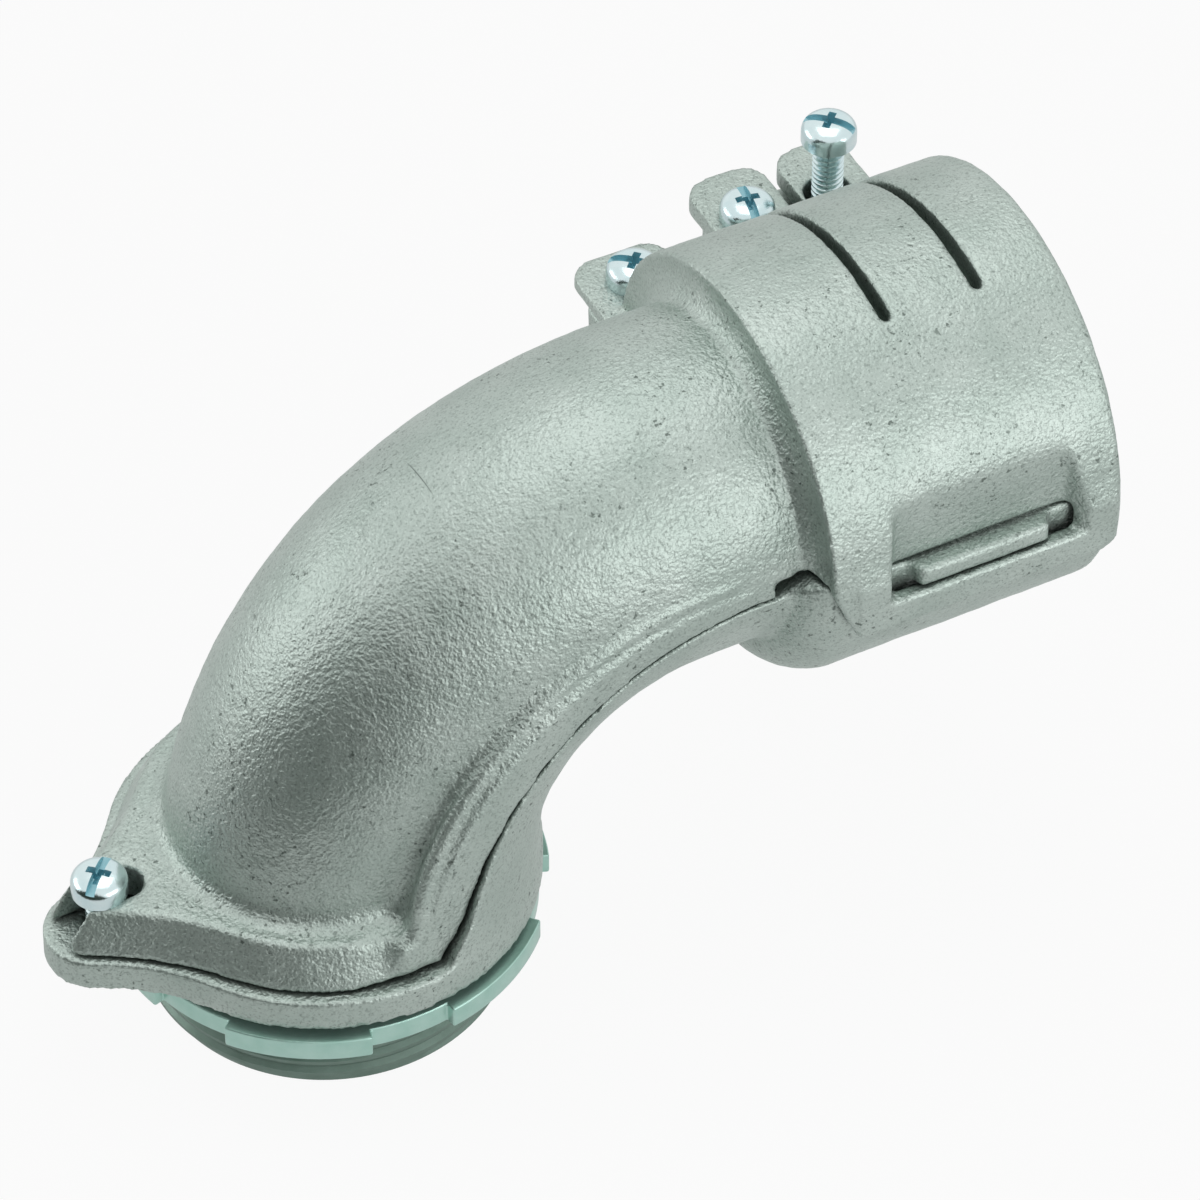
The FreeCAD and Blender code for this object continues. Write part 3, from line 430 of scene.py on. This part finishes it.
locknut = copy_of("locknut", "locknut_ring")
bpy.ops.object.mode_set(mode="EDIT")
bpy.ops.mesh.select_all(action="SELECT")
bpy.ops.mesh.dissolve_limited(angle_limit=FLAT_ANGLE)
bpy.ops.object.mode_set(mode="OBJECT")
apply_modifier(
    locknut, "BEVEL", width=NUT_EDGE, segments=NUT_EDGE_STEPS, limit_method="ANGLE",
    angle_limit=SHARP_ANGLE,
)
bpy.ops.object.shade_smooth_by_angle(angle=CREASE)
locknut.data.materials.append(nut_zinc)
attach(locknut, "locknut")
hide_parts("locknut")

# Clamp screws: quarter inch pan heads of bright zinc plated steel, cold headed with a slot right
# across and a cross recess, then roll threaded. Three draw the ears together and one the heel.
SCREW_RADIUS = 3.175 * MM
SCREW_PITCH = 1.27 * MM
SCREW_DEPTH = 0.6 * MM
SCREW_STEPS = 40
SCREW_POINT = 0.8 * MM
HEAD_RADIUS = 5.6 * MM
HEAD_SIDE = 2.0 * MM
HEAD_HEIGHT = 5.2 * MM
HEAD_FULLNESS = 0.78
HEAD_STEPS = 64
DOME_STEPS = 12
SLOT_LENGTH = 3 * HEAD_RADIUS
SLOT_WIDTH = 2.0 * MM
SLOT_DEPTH = 1.7 * MM
SLOT_FLOOR = 0.9
CROSS_LENGTH = 6.6 * MM
CROSS_WIDTH = 2.1 * MM
CROSS_DEPTH = 3.2 * MM
CROSS_FLOOR = 0.5
SCREW_TURNS = {"heel_screw": 46, "elbow_screw": -45, "strap_screw": 81, "ring_screw": -47}

# Bright zinc plate on heads and shanks, and in the recess, where the passivate pools and is blue.
bright_zinc = zinc_plate(
    "bright_zinc_plated_screw", "#e2eeee", "#c0d9dd", metallic=0.95, roughness=0.2
)
recess_zinc = zinc_plate(
    "blue_passivated_recess", "#bce2ea", "#88c6d2", metallic=0.5, roughness=0.25
)


def recess_cutter(length, width, depth, floor):
    """A bar that sinks a recess into the top of a head, drawn in to a share at its floor."""
    bpy.ops.object.select_all(action="DESELECT")
    bpy.ops.mesh.primitive_cube_add(size=1, location=(0, 0, HEAD_HEIGHT))
    bar = bpy.context.active_object
    bar.scale = (length, width, 2 * depth)
    bpy.ops.object.transform_apply(location=True, rotation=True, scale=True)
    for vertex in bar.data.vertices:
        if vertex.co.z < HEAD_HEIGHT:
            vertex.co.x *= floor
            vertex.co.y *= floor
    bar.data.materials.append(recess_zinc)
    return bar


def screw_head(name):
    """A pan head that stands on the origin: a straight side and a full dome, drawn in by steps."""
    bpy.ops.object.select_all(action="DESELECT")
    bpy.ops.mesh.primitive_circle_add(vertices=HEAD_STEPS, radius=HEAD_RADIUS, fill_type="NGON")
    head = bpy.context.active_object
    head.name = name
    head.data.materials.append(bright_zinc)
    bpy.ops.object.mode_set(mode="EDIT")
    bpy.ops.mesh.select_all(action="SELECT")
    bpy.ops.mesh.extrude_region_move(TRANSFORM_OT_translate={"value": (0, 0, HEAD_SIDE)})
    reach = 1.0
    level = 0.0
    for step in range(1, DOME_STEPS + 1):
        angle = math.pi / 2 * step / (DOME_STEPS + 1)
        new_reach = math.cos(angle) ** HEAD_FULLNESS
        new_level = math.sin(angle) ** HEAD_FULLNESS * (HEAD_HEIGHT - HEAD_SIDE)
        rise = (0, 0, new_level - level)
        bpy.ops.mesh.extrude_region_move(TRANSFORM_OT_translate={"value": rise})
        bpy.ops.transform.resize(value=(new_reach / reach, new_reach / reach, 1))
        reach = new_reach
        level = new_level
    bpy.ops.mesh.select_all(action="SELECT")
    bpy.ops.mesh.normals_make_consistent(inside=False)
    bpy.ops.object.mode_set(mode="OBJECT")
    return head


def clamp_screw(node, turn):
    """One screw in the place of its CAD node, with its driver slot turned by some degrees."""
    low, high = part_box(node)
    point = low.z - high.z + HEAD_HEIGHT
    screw = screw_head(node + "_turned")
    shank = thread_rod(
        "shank", SCREW_RADIUS, SCREW_DEPTH, SCREW_PITCH, point, HEAD_SIDE / 2, SCREW_STEPS
    )
    chamfer_end(shank, SCREW_RADIUS, point, SCREW_POINT)
    combine(screw, shank, "UNION")
    for length, width, depth, floor in (
        (SLOT_LENGTH, SLOT_WIDTH, SLOT_DEPTH, SLOT_FLOOR),
        (CROSS_WIDTH, CROSS_LENGTH, CROSS_DEPTH, CROSS_FLOOR),
        (CROSS_LENGTH, CROSS_WIDTH, CROSS_DEPTH, CROSS_FLOOR),
    ):
        cutter = recess_cutter(length, width, depth, floor)
        combine(screw, cutter, "DIFFERENCE", material_mode="TRANSFER")
    select_only(screw)
    screw.rotation_euler.z = math.radians(turn)
    screw.location = ((low.x + high.x) / 2, (low.y + high.y) / 2, high.z - HEAD_HEIGHT)
    bpy.ops.object.transform_apply(location=True, rotation=True, scale=True)
    bpy.ops.object.shade_smooth_by_angle(angle=CREASE)
    return screw


for node, turn in SCREW_TURNS.items():
    screw = clamp_screw(node, turn)
    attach(screw, node)
    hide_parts(node)

# Stage: a white table under one broad lamp overhead, with a lamp low on each side. A dark card in
# front, out of the picture, shows only in the metal: it keeps the near side of the elbow dark.
TARGET = Vector((0.0586, -0.0040, 0.0500))
ROOM_LIGHT = 0.27
FLOOR_SIZE = 12
FLOOR_DROP = 0.2 * MM
FLOOR_WHITE = 0.93
FLOOR_MIRRORED = 0.6
PAPER_WHITE = "#f2f2f2"
PAPER_DARK = "#2c3d33"
PAPER_ROUGHNESS = 0.9
CARD_WIDTH = 0.42
CARD_HEIGHT = 0.75
CARD_AZIMUTH = -63
CARD_TILT = math.radians(52)
CARD_GAP = 0.2
CARD_LIFT = 1 * MM
CAMERA_AZIMUTH = -27.30
CAMERA_ELEVATION = 45.19
CAMERA_DISTANCE = 1.2515
LENS = 195
SENSOR = 36

# Azimuth and elevation in degrees, distance, width and height in metres, and power in watts.
LAMPS = {
    "overhead_lamp": (150, 78, 1.1, 0.7, 0.7, 2.0),
    "right_lamp": (20, 18, 1.1, 0.8, 0.5, 2.7),
    "left_lamp": (-125, 16, 1.1, 0.7, 0.4, 1.6),
}


def toward(azimuth, elevation):
    """Unit vector at this azimuth, counted from the front, and this elevation, in degrees."""
    around = math.radians(azimuth)
    up = math.radians(elevation)
    level = math.cos(up)
    return Vector((math.sin(around) * level, -math.cos(around) * level, math.sin(up)))


def shown_white(tree, to_camera, to_mirrors):
    """The share of plain white that the camera, or mirrors and glass, see. Other rays see none."""
    path = add_node(tree, "ShaderNodeLightPath")
    mirrored = {0: path.outputs["Is Glossy Ray"], 1: to_mirrors}
    white = add_node(tree, "ShaderNodeMath", mirrored, operation="MULTIPLY")
    for ray, share in (("Is Transmission Ray", to_mirrors), ("Is Camera Ray", to_camera)):
        seen = add_node(
            tree, "ShaderNodeMath", {0: path.outputs[ray], 1: share}, operation="MULTIPLY"
        )
        both = {0: white.outputs["Value"], 1: seen.outputs["Value"]}
        white = add_node(tree, "ShaderNodeMath", both, operation="MAXIMUM")
    return white.outputs["Value"]


def matt_paper(name, tint):
    """Matt paper of one colour, with no gloss."""
    paper = bpy.data.materials.new(name)
    paper.use_nodes = True
    skin = paper.node_tree.nodes["Principled BSDF"]
    skin.inputs["Base Color"].default_value = linear(tint)
    skin.inputs["Roughness"].default_value = PAPER_ROUGHNESS
    skin.inputs["Specular IOR Level"].default_value = 0.0
    return paper


world = bpy.data.worlds.new("white_room")
bpy.context.scene.world = world
world.use_nodes = True
tree = world.node_tree
room = {"Value": shown_white(tree, 1, 1), "To Min": ROOM_LIGHT, "To Max": 1.0}
strength = add_node(tree, "ShaderNodeMapRange", room)
tree.links.new(strength.outputs["Result"], tree.nodes["Background"].inputs["Strength"])
tree.nodes["Background"].inputs["Color"].default_value = (1, 1, 1, 1)

bpy.ops.object.select_all(action="DESELECT")
bpy.ops.mesh.primitive_plane_add(size=FLOOR_SIZE, location=(0, 0, hub_low - FLOOR_DROP))
floor = bpy.context.active_object
floor.name = "floor"
white_paper = matt_paper("white_paper", PAPER_WHITE)
tree = white_paper.node_tree
glow = add_node(tree, "ShaderNodeEmission", {"Color": (1, 1, 1, 1), "Strength": 1.0})
white_share = shown_white(tree, FLOOR_WHITE, FLOOR_MIRRORED)
mixed = add_node(tree, "ShaderNodeMixShader", {"Fac": white_share})
tree.links.new(tree.nodes["Principled BSDF"].outputs["BSDF"], mixed.inputs[1])
tree.links.new(glow.outputs["Emission"], mixed.inputs[2])
tree.links.new(mixed.outputs["Shader"], tree.nodes["Material Output"].inputs["Surface"])
floor.data.materials.append(white_paper)

bpy.ops.object.select_all(action="DESELECT")
bpy.ops.mesh.primitive_plane_add(size=1)
card = bpy.context.active_object
card.name = "black_card"
card.scale = (CARD_WIDTH, CARD_HEIGHT, 1)
card.rotation_euler = (-CARD_TILT, 0, math.radians(CARD_AZIMUTH))
card_rise = CARD_HEIGHT / 2 * math.sin(CARD_TILT)
card_reach = CARD_GAP + CARD_HEIGHT / 2 * math.cos(CARD_TILT)
card_foot = Vector((TARGET.x, TARGET.y, hub_low + card_rise + CARD_LIFT))
card.location = toward(CARD_AZIMUTH, 0) * card_reach + card_foot
bpy.ops.object.transform_apply(location=True, rotation=True, scale=True)
card.data.materials.append(matt_paper("black_paper", PAPER_DARK))
card.visible_camera = False
card.visible_shadow = False
card.visible_diffuse = False

for name, (azimuth, elevation, distance, width, height, power) in LAMPS.items():
    lamp = bpy.data.lights.new(name, "AREA")
    lamp.shape = "RECTANGLE"
    lamp.size = width
    lamp.size_y = height
    lamp.energy = power
    stand = bpy.data.objects.new(name, lamp)
    bpy.context.scene.collection.objects.link(stand)
    direction = toward(azimuth, elevation)
    stand.location = TARGET + direction * distance
    stand.rotation_euler = direction.to_track_quat("Z", "Y").to_euler()

lens = bpy.data.cameras.new("camera")
lens.lens = LENS
lens.sensor_width = SENSOR
camera = bpy.data.objects.new("camera", lens)
bpy.context.scene.collection.objects.link(camera)
view = toward(CAMERA_AZIMUTH, CAMERA_ELEVATION)
camera.location = TARGET + view * CAMERA_DISTANCE
camera.rotation_euler = view.to_track_quat("Z", "Y").to_euler()
bpy.context.scene.camera = camera
bpy.context.scene.view_settings.view_transform = "Standard"
